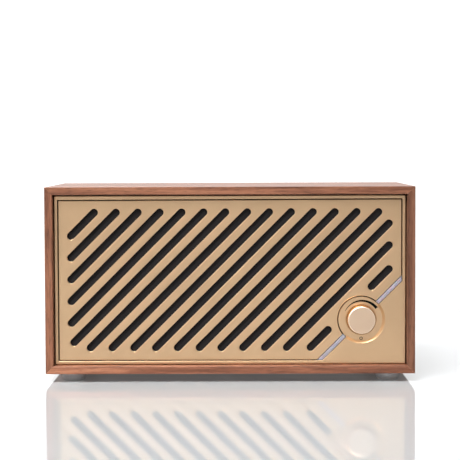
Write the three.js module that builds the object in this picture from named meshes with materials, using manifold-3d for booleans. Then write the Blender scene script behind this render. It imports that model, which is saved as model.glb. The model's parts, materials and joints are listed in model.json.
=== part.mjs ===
// A tabletop radio: a walnut sleeve on four feet, a slotted metal front with a knob in a dish and
// a diagonal light strip, two drivers, the electronics, a vented back and a telescopic aerial.
// Millimetres. +X is to the right seen from the front, +Y is towards the back, +Z is up, and the
// feet stand on Z = 0. A depth is a distance behind the front edge of the sleeve.

import * as THREE from 'three';
import { mergeVertices } from 'three/addons/utils/BufferGeometryUtils.js';
import Module from 'manifold-3d';

// ---- Driving dimensions ----

const GAP = 0.3; // clearance between neighbouring pieces
const ARC_STEPS = 5; // an extruded outline's arc has twice as many steps

// Sleeve
const WIDTH = 216;
const HEIGHT = 114.3;
const DEPTH = 112;
const BOARD = 4.6;
const FOOT_HEIGHT = 5;
const FOOT_RADIUS = 7;
const FOOT_INSET = 15;
const BLOCK = 10;

// Front plate: a rim with a corner panel, and the slotted panel that sits in it
const PLATE_DEPTH = 5.5;
const PLATE_THICKNESS = 5;
const PLATE_HALF = 102.6;
const PLATE_BOTTOM = 10.35;
const PLATE_TOP = 108.75;
const RIM = 1.55;
const GROOVE = 0.65;
const GRILLE_THICKNESS = 1.5;
const POCKET = 2.6;
const LEDGE = 4;

// Slots, all at 45 degrees; a diagonal is named by its x - z
const SLOT_RADIUS = 2.28;
const SLOT_COUNT = 16;
const SLOT_PITCH = 12.815;
const FIRST_DIAGONAL = -178.78;
const SPLIT_DIAGONAL = 27.43;
const SPLIT_RADIUS = 20.4;
const SLOT_MARGIN = 7.25;
const SLOT_FIELD_CORNER = 7.5;

// Knob, its dish and the light strip that runs through it
const KNOB_X = 76.9;
const KNOB_Z = 36.1;
const KNOB_RADIUS = 8.5;
const KNOB_FACE_RADIUS = 7.9;
const KNOB_FRONT = 0.5;
const KNOB_BACK = 7.6;
const KNOB_CHAMFER = 0.4;
const KNOB_TRAVEL = 0.8;
const WELL_RADIUS = 9;
const DISH_RADIUS = 13.35;
const DISH_DEPTH = 0.9;
const STRIP_WIDTH = 2.3;
const STRIP_SHIFT = 0.22; // from the knob's diagonal to the strip's centre line, up and to the left
const STRIP_GAP = 1.7; // from the knob's diagonal to the slotted panel's cut edge
const SHAFT_RADIUS = 3;
const BUSHING_RADIUS = 4.2;

// Drivers
const DRIVER_X = 42;
const DRIVER_Z = 61;
const BAFFLE_THICKNESS = 4;
const BAFFLE_HOLE = 29;
const FLANGE_RADIUS = 33;
const MAGNET_RADIUS = 21;
const DRIVER_STEPS = 28;

// Back
const BACK_THICKNESS = 3;
const BACK_INSET = 1.5;
const PORT_X = -42;
const PORT_Z = 60;
const PORT_RADIUS = 12.2;
const PORT_WALL = 1.8;
const PORT_LENGTH = 58;
const SCREW_RADIUS = 1.5;
const SCREW_HEAD_RADIUS = 3;
const SCREW_LENGTH = 12;
const SOCKET_Z = 30;
const DC_X = 70;
const AUX_X = 48;
const HEADPHONE_X = 29;
const SETUP_X = 8;
const BOARD_FRONT = 95; // depth of the main board's front face
const PCB = 1.6;

// Aerial, stowed along the back and pointing to -X
const AERIAL_X = 88;
const AERIAL_Z = 98;
const AERIAL_DEPTH = 118;
const EAR_OUTER = 5.4;
const EAR_INNER = 3.6;
const EAR_RADIUS = 4.5;
const PIN_RADIUS = 1.3;
const MAST_REACH = 150; // from the pivot to the mouth of the fixed section
const SECTION_STEP = 5;
const SECTION_RADII = [3.2, 2.5, 1.8, 1.1];
const SECTION_WALL = 0.4;

// ---- Derived dimensions ----

const OVERALL_DEPTH = AERIAL_DEPTH + EAR_RADIUS;
const INNER_HALF = WIDTH / 2 - BOARD;
const INNER_BOTTOM = FOOT_HEIGHT + BOARD;
const INNER_TOP = HEIGHT - BOARD;
const PANEL_HALF = PLATE_HALF - RIM - GROOVE;
const PANEL_BOTTOM = PLATE_BOTTOM + RIM + GROOVE;
const PANEL_TOP = PLATE_TOP - RIM - GROOVE;
const STRIP_DIAGONAL = KNOB_X - KNOB_Z;
const PANEL_DIAGONAL = STRIP_DIAGONAL - STRIP_GAP * Math.SQRT2;
const DISH_FLOOR = PLATE_DEPTH + DISH_DEPTH;
const POCKET_FLOOR = PLATE_DEPTH + POCKET;
const PLATE_BACK = PLATE_DEPTH + PLATE_THICKNESS;
const CLOTH_FRONT = PLATE_DEPTH + GRILLE_THICKNESS + GAP;
const CLOTH_BACK = POCKET_FLOOR - GAP;
const BAFFLE_FRONT = PLATE_BACK + GAP;
const BAFFLE_BACK = BAFFLE_FRONT + BAFFLE_THICKNESS;
const ENCODER_FRONT = BAFFLE_BACK + GAP;
const ENCODER_BACK = ENCODER_FRONT + 6.4;
const NUT_FRONT = PLATE_BACK - 1.6;
const BACK_OUTER = DEPTH - BACK_INSET;
const BACK_INNER = BACK_OUTER - BACK_THICKNESS;
const BOARD_BACK = BOARD_FRONT + PCB;
const BLOCK_CENTRE_X = INNER_HALF - GAP - BLOCK / 2;
const BLOCK_LOW_Z = INNER_BOTTOM + GAP + BLOCK / 2;
const BLOCK_HIGH_Z = INNER_TOP - GAP - BLOCK / 2;

// ---- Materials ----

function material(name, color, roughness, metalness) {
  return new THREE.MeshStandardMaterial({ name, color, roughness, metalness });
}

const walnut = material('walnut', 0x9c6a52, 0.45, 0);
const pine = material('pine', 0xc9a877, 0.7, 0);
const blackRubber = material('black_rubber', 0x1d1d1f, 0.85, 0);
const greyRubber = material('grey_rubber', 0x8a8a8c, 0.8, 0);
const goldMetal = material('gold_metal', 0xcfa982, 0.32, 0.9);
const blackCloth = material('black_cloth', 0x1f2022, 0.95, 0);
const lightGuide = material('light_guide', 0xb4b3c4, 0.3, 0);
const greenBoard = material('green_board', 0x1f5a3a, 0.5, 0);
const baffleBoard = material('baffle_board', 0x2a2624, 0.8, 0);
const steel = material('steel', 0xa9adb2, 0.35, 1);
const blackSteel = material('black_steel', 0x2b2c2e, 0.45, 0.8);
const blackPlastic = material('black_plastic', 0x161719, 0.5, 0);
const paperCone = material('paper_cone', 0x3a3836, 0.9, 0);
const ferrite = material('ferrite', 0x3c3d40, 0.6, 0.2);
const chrome = material('chrome', 0xd5d8dc, 0.12, 1);
const aluminium = material('aluminium', 0xb9bcc0, 0.4, 0.9);
const leadJacket = material('lead_jacket', 0x4a1c1c, 0.6, 0);

// ---- Solids ----

const wasm = await Module();
wasm.setup();

const depthY = (depth) => depth - OVERALL_DEPTH / 2;

// A closed three.js geometry as a manifold-3d solid.
function solid(geometry) {
  geometry.deleteAttribute('normal');
  geometry.deleteAttribute('uv');
  const merged = mergeVertices(geometry, 1e-4);
  const corners = merged.index.array;
  const triangles = [];
  for (let i = 0; i < corners.length; i += 3) {
    const [a, b, c] = corners.slice(i, i + 3);
    if (a !== b && b !== c && c !== a) triangles.push(a, b, c);
  }
  return new wasm.Manifold(new wasm.Mesh({
    numProp: 3,
    vertProperties: merged.attributes.position.array,
    triVerts: Uint32Array.from(triangles),
  }));
}

// An outline drawn in X and Z, extruded between two depths.
function slab(outline, near, far) {
  const geometry = new THREE.ExtrudeGeometry(outline, {
    depth: far - near,
    bevelEnabled: false,
    curveSegments: ARC_STEPS,
  });
  geometry.rotateX(Math.PI / 2);
  geometry.translate(0, depthY(far), 0);
  return solid(geometry);
}

function block(x0, x1, near, far, z0, z1) {
  const geometry = new THREE.BoxGeometry(x1 - x0, far - near, z1 - z0);
  geometry.translate((x0 + x1) / 2, depthY((near + far) / 2), (z0 + z1) / 2);
  return solid(geometry);
}

// A profile of [radius, depth] points turned about an axis along Y through x, z. It runs
// clockwise seen with depth to the right and radius up, from the axis or closed on itself.
function turned(profile, x, z, segments = 32) {
  const points = profile.map(([radius, depth]) => new THREE.Vector2(radius, depthY(depth)));
  const geometry = new THREE.LatheGeometry(points, segments);
  geometry.translate(x, 0, z);
  return solid(geometry);
}

function rod(radius, near, far, x, z, segments = 24) {
  return turned([[0, near], [radius, near], [radius, far], [0, far]], x, z, segments);
}

// A cylinder along X between two positions.
function rodAlongX(radius, x0, x1, depth, z, segments = 16) {
  const geometry = new THREE.CylinderGeometry(radius, radius, x1 - x0, segments);
  geometry.rotateZ(Math.PI / 2);
  geometry.translate((x0 + x1) / 2, depthY(depth), z);
  return solid(geometry);
}

// A cylinder along Z between two heights.
function rodAlongZ(radius, z0, z1, x, depth, segments = 24) {
  const geometry = new THREE.CylinderGeometry(radius, radius, z1 - z0, segments);
  geometry.rotateX(Math.PI / 2);
  geometry.translate(x, depthY(depth), (z0 + z1) / 2);
  return solid(geometry);
}

// A round cable through points of [x, depth, z].
function cable(radius, stops, steps) {
  const curve = new THREE.CatmullRomCurve3(
    stops.map(([x, depth, z]) => new THREE.Vector3(x, depthY(depth), z)),
  );
  const section = new THREE.Shape();
  section.absarc(0, 0, radius, 0, 2 * Math.PI, false);
  return solid(new THREE.ExtrudeGeometry(section, {
    extrudePath: curve,
    steps,
    curveSegments: ARC_STEPS - 1,
  }));
}

function polygon(points) {
  return new THREE.Shape(points.map(([x, z]) => new THREE.Vector2(x, z)));
}

const radio = new THREE.Group();

function add(name, shape, surface) {
  const mesh = shape.getMesh();
  const geometry = new THREE.BufferGeometry();
  geometry.setAttribute('position', new THREE.BufferAttribute(mesh.vertProperties, 3));
  geometry.setIndex(new THREE.BufferAttribute(mesh.triVerts, 1));
  geometry.computeVertexNormals();
  const part = new THREE.Mesh(geometry, surface);
  part.name = name;
  radio.add(part);
}

// ---- Sleeve: four mitred boards, glue blocks in the corners, feet ----

function addSleeve() {
  const mitre = GAP / Math.SQRT2;
  const side = WIDTH / 2;
  const flat = (outerZ, innerZ) => polygon([
    [-side + mitre, outerZ],
    [side - mitre, outerZ],
    [side - BOARD - mitre, innerZ],
    [-side + BOARD + mitre, innerZ],
  ]);
  const upright = (sign) => polygon([
    [sign * side, FOOT_HEIGHT + mitre],
    [sign * side, HEIGHT - mitre],
    [sign * (side - BOARD), HEIGHT - BOARD - mitre],
    [sign * (side - BOARD), FOOT_HEIGHT + BOARD + mitre],
  ]);
  add('cabinet_top', slab(flat(HEIGHT, INNER_TOP), 0, DEPTH), walnut);
  add('cabinet_bottom', slab(flat(FOOT_HEIGHT, INNER_BOTTOM), 0, DEPTH), walnut);
  add('cabinet_left', slab(upright(-1), 0, DEPTH), walnut);
  add('cabinet_right', slab(upright(1), 0, DEPTH), walnut);
}

function addCorners() {
  const near = BAFFLE_BACK + GAP;
  const far = BACK_INNER - GAP;
  for (const [sideName, sign] of [['left', -1], ['right', 1]]) {
    for (const [levelName, z] of [['lower', BLOCK_LOW_Z], ['upper', BLOCK_HIGH_Z]]) {
      const x = sign * BLOCK_CENTRE_X;
      const half = BLOCK / 2;
      const stick = block(x - half, x + half, near, far, z - half, z + half);
      const pilot = rod(SCREW_RADIUS + GAP, far - SCREW_LENGTH, far + 1, x, z, 16);
      add(`corner_block_${levelName}_${sideName}`, stick.subtract(pilot), pine);
      add(`back_screw_${levelName}_${sideName}`, backScrew(x, z), blackSteel);
    }
  }
}

// A pan-head screw with a cross recess.
function backScrew(x, z) {
  const head = BACK_OUTER + GAP;
  const shank = turned([
    [0, head - SCREW_LENGTH],
    [SCREW_RADIUS, head - SCREW_LENGTH + 2],
    [SCREW_RADIUS, head],
    [SCREW_HEAD_RADIUS, head],
    [SCREW_HEAD_RADIUS - 0.4, head + 0.9],
    [SCREW_HEAD_RADIUS - 1.2, head + 1.2],
    [0, head + 1.2],
  ], x, z, 16);
  const arm = 1.5;
  const across = block(x - arm, x + arm, head + 0.5, head + 2, z - 0.3, z + 0.3);
  const upright = block(x - 0.3, x + 0.3, head + 0.5, head + 2, z - arm, z + arm);
  return shank.subtract(across).subtract(upright);
}

function addFeet() {
  const x = WIDTH / 2 - FOOT_INSET;
  const places = [
    ['front_left', -x, FOOT_INSET],
    ['front_right', x, FOOT_INSET],
    ['rear_left', -x, DEPTH - FOOT_INSET],
    ['rear_right', x, DEPTH - FOOT_INSET],
  ];
  for (const [place, footX, depth] of places) {
    add(`foot_${place}`, rodAlongZ(FOOT_RADIUS, 0, FOOT_HEIGHT - GAP, footX, depth), greyRubber);
  }
}

// ---- Front: frame with corner panel and dish, slotted panel, cloth, light strip ----

// The slotted panel's outline, grown outwards by `grow`: a rectangle whose lower right corner is
// cut at 45 degrees and bitten by the dish.
function panelOutline(grow) {
  const half = PANEL_HALF + grow;
  const bottom = PANEL_BOTTOM - grow;
  const top = PANEL_TOP + grow;
  const diagonal = PANEL_DIAGONAL + grow * Math.SQRT2;
  const bite = DISH_RADIUS + GROOVE - grow;
  const offset = (STRIP_DIAGONAL - diagonal) / Math.SQRT2;
  const swing = Math.acos(offset / bite);
  const outline = new THREE.Shape();
  outline.moveTo(-half, bottom);
  outline.lineTo(diagonal + bottom, bottom);
  outline.absarc(KNOB_X, KNOB_Z, bite, 0.75 * Math.PI + swing, 0.75 * Math.PI - swing, true);
  outline.lineTo(half, half - diagonal);
  outline.lineTo(half, top);
  outline.lineTo(-half, top);
  outline.closePath();
  return outline;
}

// Where the diagonal x - z = c leaves the field of slots, which has rounded corners. The lower
// end has sign -1 and the upper end +1; the slot ends are symmetric about the field's centre.
function fieldEnd(c, sign) {
  const centreZ = (PANEL_BOTTOM + PANEL_TOP) / 2;
  const halfX = PANEL_HALF - SLOT_MARGIN;
  const halfZ = (PANEL_TOP - PANEL_BOTTOM) / 2 - SLOT_MARGIN;
  const shift = sign * (c + centreZ);
  let x = Math.min(halfX, halfZ + shift);
  const cornerX = halfX - SLOT_FIELD_CORNER;
  const cornerZ = halfZ - SLOT_FIELD_CORNER;
  if (x > cornerX && x - shift > cornerZ) {
    const across = cornerX - cornerZ - shift;
    const along = Math.sqrt(SLOT_FIELD_CORNER ** 2 - across ** 2 / 2);
    x = cornerX - across / 2 + along / Math.SQRT2;
  }
  return [sign * x, centreZ + sign * (x - shift)];
}

function slot([x0, z0], [x1, z1]) {
  const across = Math.atan2(z1 - z0, x1 - x0) + Math.PI / 2;
  const hole = new THREE.Path();
  hole.absarc(x0, z0, SLOT_RADIUS, across, across + Math.PI, false);
  hole.absarc(x1, z1, SLOT_RADIUS, across + Math.PI, across + 2 * Math.PI, false);
  hole.closePath();
  return hole;
}

function grilleSlots() {
  const slots = [];
  for (let k = 0; k < SLOT_COUNT; k += 1) {
    const c = FIRST_DIAGONAL + k * SLOT_PITCH;
    slots.push(slot(fieldEnd(c, -1), fieldEnd(c, 1)));
  }
  const offset = (STRIP_DIAGONAL - SPLIT_DIAGONAL) / Math.SQRT2;
  const along = Math.sqrt(SPLIT_RADIUS ** 2 - offset ** 2);
  const nearX = KNOB_X - offset / Math.SQRT2;
  const nearZ = KNOB_Z + offset / Math.SQRT2;
  for (const sign of [-1, 1]) {
    const reach = sign * along / Math.SQRT2;
    const inner = [nearX + reach, nearZ + reach];
    slots.push(slot(inner, fieldEnd(SPLIT_DIAGONAL, sign)));
  }
  return slots;
}

// A bar along the strip, from the dish to the rim, on the upper or lower side. Its far end is cut
// parallel to the rim: upright on the upper side and level on the lower side.
function diagonalBar(sign, width, startRadius, endClearance, near, far) {
  const half = width / 2 / Math.SQRT2;
  const x = KNOB_X - STRIP_SHIFT / Math.SQRT2;
  const z = KNOB_Z + STRIP_SHIFT / Math.SQRT2;
  const start = sign * startRadius / Math.SQRT2;
  const end = sign > 0 ? PLATE_HALF - RIM - endClearance - x : PLATE_BOTTOM + RIM + endClearance - z;
  const outer = end - sign * half;
  const inner = end + sign * half;
  const farEnd = sign > 0
    ? [[x + end, z + outer - half], [x + end, z + inner + half]]
    : [[x + outer + half, z + end], [x + inner - half, z + end]];
  return slab(polygon([
    [x + start - half, z + start + half],
    [x + start + half, z + start - half],
    ...farEnd,
  ]), near, far);
}

function addFront() {
  const plate = polygon([
    [-PLATE_HALF, PLATE_BOTTOM],
    [PLATE_HALF, PLATE_BOTTOM],
    [PLATE_HALF, PLATE_TOP],
    [-PLATE_HALF, PLATE_TOP],
  ]);
  const pocket = panelOutline(GROOVE);
  const windowOutline = panelOutline(-LEDGE);
  let frame = slab(plate, PLATE_DEPTH, PLATE_BACK)
    .subtract(slab(pocket, PLATE_DEPTH - 1, POCKET_FLOOR))
    .subtract(slab(windowOutline, PLATE_DEPTH, PLATE_BACK + 1))
    .subtract(rod(WELL_RADIUS, PLATE_DEPTH - 1, PLATE_BACK + 1, KNOB_X, KNOB_Z, 48))
    .subtract(rod(DISH_RADIUS + 0.15, PLATE_DEPTH - 1, DISH_FLOOR, KNOB_X, KNOB_Z, 64));
  for (const sign of [-1, 1]) {
    const start = DISH_RADIUS + 0.1;
    frame = frame
      .subtract(diagonalBar(sign, STRIP_WIDTH + GAP, start, 0, PLATE_DEPTH - 1, POCKET_FLOOR))
      .subtract(diagonalBar(sign, STRIP_WIDTH + 1, start + 2, 2, POCKET_FLOOR - 1, PLATE_BACK + 1));
  }
  add('front_frame', frame, goldMetal);

  const panel = panelOutline(0);
  panel.holes.push(...grilleSlots());
  add('grille_panel', slab(panel, PLATE_DEPTH, PLATE_DEPTH + GRILLE_THICKNESS), goldMetal);
  add('grille_cloth', slab(panelOutline(-0.5), CLOTH_FRONT, CLOTH_BACK), blackCloth);

  for (const [side, sign] of [['lower', -1], ['upper', 1]]) {
    const front = PLATE_DEPTH + 0.1;
    const strip = diagonalBar(sign, STRIP_WIDTH, DISH_RADIUS + GAP, GAP, front, POCKET_FLOOR);
    add(`light_strip_${side}`, strip, lightGuide);
    add(`led_board_${side}`, ledBoard(sign), greenBoard);
  }
}

// A narrow board behind the light strip with a row of small lamps on it.
function ledBoard(sign) {
  const near = POCKET_FLOOR + 2 * GAP;
  const start = DISH_RADIUS + 2 + GAP;
  let board = diagonalBar(sign, STRIP_WIDTH + 0.4, start, 2 + GAP, near, near + 0.8);
  const lamp = 0.6;
  for (let k = 0; k < 3; k += 1) {
    const reach = sign * (start + 2 + 4 * k) / Math.SQRT2;
    const x = KNOB_X + reach - STRIP_SHIFT / Math.SQRT2;
    const z = KNOB_Z + reach + STRIP_SHIFT / Math.SQRT2;
    board = board.add(block(x - lamp, x + lamp, near - GAP, near + 0.4, z - lamp, z + lamp));
  }
  return board;
}

// ---- Knob and encoder ----

function addKnob() {
  const bore = SHAFT_RADIUS + GAP;
  const boreEnd = KNOB_FRONT + 2.5;
  add('volume_knob', turned([
    [0, KNOB_FRONT],
    [KNOB_FACE_RADIUS - KNOB_CHAMFER, KNOB_FRONT],
    [KNOB_FACE_RADIUS, KNOB_FRONT + KNOB_CHAMFER],
    [KNOB_RADIUS, DISH_FLOOR],
    [KNOB_RADIUS, KNOB_BACK],
    [bore, KNOB_BACK],
    [bore, boreEnd],
    [0, boreEnd],
  ], KNOB_X, KNOB_Z, 64), goldMetal);

  const shaftEnd = ENCODER_FRONT + 1.9;
  add('encoder_shaft', rod(SHAFT_RADIUS, boreEnd + GAP, shaftEnd, KNOB_X, KNOB_Z), steel);
  const plungerFront = shaftEnd + GAP;
  const plungerBack = plungerFront + 1.6;
  add('encoder_plunger', rod(SHAFT_RADIUS, plungerFront, plungerBack, KNOB_X, KNOB_Z), blackPlastic);

  const half = 6.5;
  const boreFloor = plungerBack + KNOB_TRAVEL + GAP;
  const body = block(KNOB_X - half, KNOB_X + half, ENCODER_FRONT, ENCODER_BACK, KNOB_Z - half, KNOB_Z + half)
    .add(rod(BUSHING_RADIUS, NUT_FRONT, ENCODER_FRONT + 1, KNOB_X, KNOB_Z, 32))
    .subtract(rod(bore, NUT_FRONT - 1, boreFloor, KNOB_X, KNOB_Z, 32));
  add('encoder_body', body, blackPlastic);

  const nut = rod(7, NUT_FRONT, PLATE_BACK, KNOB_X, KNOB_Z, 6)
    .subtract(rod(BUSHING_RADIUS + GAP, NUT_FRONT - 1, PLATE_BACK + 1, KNOB_X, KNOB_Z, 32));
  add('encoder_nut', nut, steel);

  const board = block(68, 95, ENCODER_BACK + GAP, ENCODER_BACK + GAP + PCB, 23, 46);
  add('control_board', board, greenBoard);
}

// ---- Baffle and drivers ----

function addBaffle() {
  const outline = polygon([
    [-INNER_HALF + GAP, INNER_BOTTOM + GAP],
    [INNER_HALF - GAP, INNER_BOTTOM + GAP],
    [INNER_HALF - GAP, INNER_TOP - GAP],
    [-INNER_HALF + GAP, INNER_TOP - GAP],
  ]);
  let baffle = slab(outline, BAFFLE_FRONT, BAFFLE_BACK);
  for (const x of [-DRIVER_X, DRIVER_X]) {
    baffle = baffle.subtract(rod(BAFFLE_HOLE, BAFFLE_FRONT - 1, BAFFLE_BACK + 1, x, DRIVER_Z, 48));
  }
  const bushing = rod(BUSHING_RADIUS + GAP, BAFFLE_FRONT - 1, BAFFLE_BACK + 1, KNOB_X, KNOB_Z);
  add('front_baffle', baffle.subtract(bushing), baffleBoard);
}

function addDriver(side, x) {
  const front = BAFFLE_BACK + GAP;
  const inside = BAFFLE_HOLE + 0.7;
  const rear = front + 17.9;
  const basket = turned([
    [inside, front],
    [FLANGE_RADIUS, front],
    [FLANGE_RADIUS, front + 2],
    [FLANGE_RADIUS - 1.8, front + 2],
    [23.6, rear],
    [12, rear],
    [12, rear - 1.4],
    [22.4, rear - 1.4],
    [inside, front + 2.4],
    [inside, front],
  ], x, DRIVER_Z, DRIVER_STEPS);
  add(`driver_basket_${side}`, basket, blackSteel);

  const rollInner = 24.3;
  const rollOuter = inside - GAP;
  const rim = front + 1.9;
  add(`cone_surround_${side}`, turned([
    [rollInner, rim],
    [rollInner + 0.9, rim - 0.1],
    [rollInner + 1.8, rim - 1.2],
    [rollOuter - 1.8, rim - 1.2],
    [rollOuter - 0.9, rim - 0.1],
    [rollOuter, rim],
    [rollOuter, rim + 0.6],
    [rollOuter - 1.3, rim + 0.5],
    [rollOuter - 2.2, rim - 0.5],
    [rollInner + 2.2, rim - 0.5],
    [rollInner + 1.3, rim + 0.5],
    [rollInner, rim + 0.6],
    [rollInner, rim],
  ], x, DRIVER_Z, DRIVER_STEPS), blackRubber);

  const coneEdge = rollInner - GAP;
  const neck = 9.8;
  add(`driver_cone_${side}`, turned([
    [0, rim + 6.6],
    [6, rim + 7.4],
    [neck, rim + 9.4],
    [coneEdge, rim - 0.1],
    [coneEdge, rim + 0.6],
    [neck, rim + 11.2],
    [neck, rear + 4.5],
    [neck - 0.6, rear + 4.5],
    [neck - 0.6, rim + 10.4],
    [6, rim + 8.1],
    [0, rim + 7.2],
  ], x, DRIVER_Z, DRIVER_STEPS), paperCone);

  const magnetFront = rear + GAP;
  const gapFloor = magnetFront + 8;
  const magnetBack = magnetFront + 12.7;
  add(`driver_magnet_${side}`, turned([
    [0, magnetFront],
    [neck - 1.1, magnetFront],
    [neck - 1.1, gapFloor],
    [neck + 0.6, gapFloor],
    [neck + 0.6, magnetFront],
    [MAGNET_RADIUS, magnetFront],
    [MAGNET_RADIUS, magnetBack],
    [0, magnetBack],
  ], x, DRIVER_Z, DRIVER_STEPS), ferrite);
}

// ---- Back panel and what goes through it ----

function addBack() {
  let panel = block(
    -INNER_HALF + GAP, INNER_HALF - GAP, BACK_INNER, BACK_OUTER, INNER_BOTTOM + GAP, INNER_TOP - GAP,
  );
  const cut = (radius, x, z, segments) => {
    panel = panel.subtract(rod(radius + GAP, BACK_INNER - 1, BACK_OUTER + 1, x, z, segments));
  };
  cut(PORT_RADIUS + PORT_WALL, PORT_X, PORT_Z, 32);
  cut(5, DC_X, SOCKET_Z, 24);
  cut(3.6, AUX_X, SOCKET_Z, 24);
  cut(3.6, HEADPHONE_X, SOCKET_Z, 24);
  cut(3, SETUP_X, SOCKET_Z, 24);
  for (const x of [-BLOCK_CENTRE_X, BLOCK_CENTRE_X]) {
    cut(SCREW_RADIUS, x, BLOCK_LOW_Z, 16);
    cut(SCREW_RADIUS, x, BLOCK_HIGH_Z, 16);
  }
  for (const x of [-10, 80]) {
    for (const z of [22, 76]) {
      panel = panel.add(rod(3, BOARD_BACK + GAP, BACK_INNER + 1, x, z, 16));
    }
  }
  add('back_panel', panel, blackPlastic);

  const tubeEnd = BACK_OUTER - PORT_LENGTH;
  const flange = BACK_OUTER + GAP;
  const lip = DEPTH;
  add('port_tube', turned([
    [PORT_RADIUS, tubeEnd],
    [PORT_RADIUS + PORT_WALL, tubeEnd],
    [PORT_RADIUS + PORT_WALL, flange],
    [PORT_RADIUS + 5.4, flange],
    [PORT_RADIUS + 5.2, lip],
    [PORT_RADIUS + 3.4, lip],
    [PORT_RADIUS + 1.4, lip - 2.2],
    [PORT_RADIUS + 0.4, lip - 4.6],
    [PORT_RADIUS, lip - 7.5],
    [PORT_RADIUS, tubeEnd],
  ], PORT_X, PORT_Z, 32), blackPlastic);

  const switchBack = BOARD_BACK + 3.8;
  add('setup_switch', block(SETUP_X - 3, SETUP_X + 3, BOARD_BACK + GAP, switchBack, SOCKET_Z - 3, SOCKET_Z + 3),
    blackPlastic);
  add('setup_button', turned([
    [0, switchBack + 1.1],
    [2.4, switchBack + 1.1],
    [2.4, BACK_INNER - 2.3],
    [4.2, BACK_INNER - 2.3],
    [4.2, BACK_INNER - 1.1],
    [3, BACK_INNER - 1.1],
    [3, DEPTH - 0.4],
    [2.6, DEPTH],
    [0, DEPTH],
  ], SETUP_X, SOCKET_Z, 24), blackPlastic);

  const nose = BACK_OUTER + 0.6;
  add('dc_jack', jack(DC_X, 4.5, 5.5, 5, 3.2, nose)
    .add(rod(1, BOARD_BACK + 2, nose - 2.5, DC_X, SOCKET_Z, 16)), blackPlastic);
  add('aux_jack', jack(AUX_X, 4, 4, 3.6, 1.85, nose), blackPlastic);
  add('headphone_jack', jack(HEADPHONE_X, 4, 4, 3.6, 1.85, nose), blackPlastic);
}

// A board-mounted socket: a body, a round nose through the back panel, and a bore.
function jack(x, halfX, halfZ, noseRadius, boreRadius, nose) {
  const bodyBack = BACK_INNER - GAP;
  return block(x - halfX, x + halfX, BOARD_BACK + GAP, bodyBack, SOCKET_Z - halfZ, SOCKET_Z + halfZ)
    .add(rod(noseRadius, bodyBack - 1, nose, x, SOCKET_Z, 24))
    .subtract(rod(boreRadius, BOARD_BACK + 3, nose + 1, x, SOCKET_Z, 24));
}

// ---- Electronics and leads ----

function addElectronics() {
  add('main_board', block(-15, 85, BOARD_FRONT, BOARD_BACK, 18, 80), greenBoard);
  const radioFront = BOARD_FRONT - GAP - 3.5;
  add('radio_module', block(8, 38, radioFront, BOARD_FRONT - GAP, 46, 68), steel);

  const base = BOARD_FRONT - GAP - 2.5;
  let heatsink = block(54, 80, base, BOARD_FRONT - GAP, 46, 72);
  const fins = 6;
  const finWidth = 1.6;
  for (let k = 0; k < fins; k += 1) {
    const x = 54 + k * (26 - finWidth) / (fins - 1);
    heatsink = heatsink.add(block(x, x + finWidth, base - 12, base + 1, 46, 72));
  }
  add('amplifier_heatsink', heatsink, aluminium);

  const lead = 1.2;
  const boardFace = BOARD_FRONT - GAP;
  const terminalZ = DRIVER_Z + 29;
  const straight = 4;
  add('speaker_lead_left', cable(lead, [
    [-8, boardFace, 72], [-8, boardFace - straight, 72], [-14, 68, 82], [-34, 40, terminalZ + 3],
    [-DRIVER_X, 30, terminalZ + 2], [-DRIVER_X, 24, terminalZ + 2],
  ], 20), leadJacket);
  add('speaker_lead_right', cable(lead, [
    [46, boardFace, 76], [46, boardFace - straight, 76], [45, 66, 86], [43, 40, terminalZ + 3],
    [DRIVER_X, 30, terminalZ + 2], [DRIVER_X, 24, terminalZ + 2],
  ], 20), leadJacket);
  const controlBack = ENCODER_BACK + PCB + 2 * GAP;
  add('control_lead', cable(lead, [
    [84, controlBack, 28], [84, controlBack + straight, 28], [85, 56, 23], [78, 80, 25],
    [77, boardFace - straight, 27], [77, boardFace, 27],
  ], 20), leadJacket);
  add('aerial_lead', cable(0.9, [
    [60, BOARD_BACK + GAP, 70], [60, BOARD_BACK + GAP + 2, 70], [68, 102, 82],
    [AERIAL_X, BACK_INNER - GAP - 2, AERIAL_Z], [AERIAL_X, BACK_INNER - GAP, AERIAL_Z],
  ], 14), blackRubber);
}

// ---- Aerial ----

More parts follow.
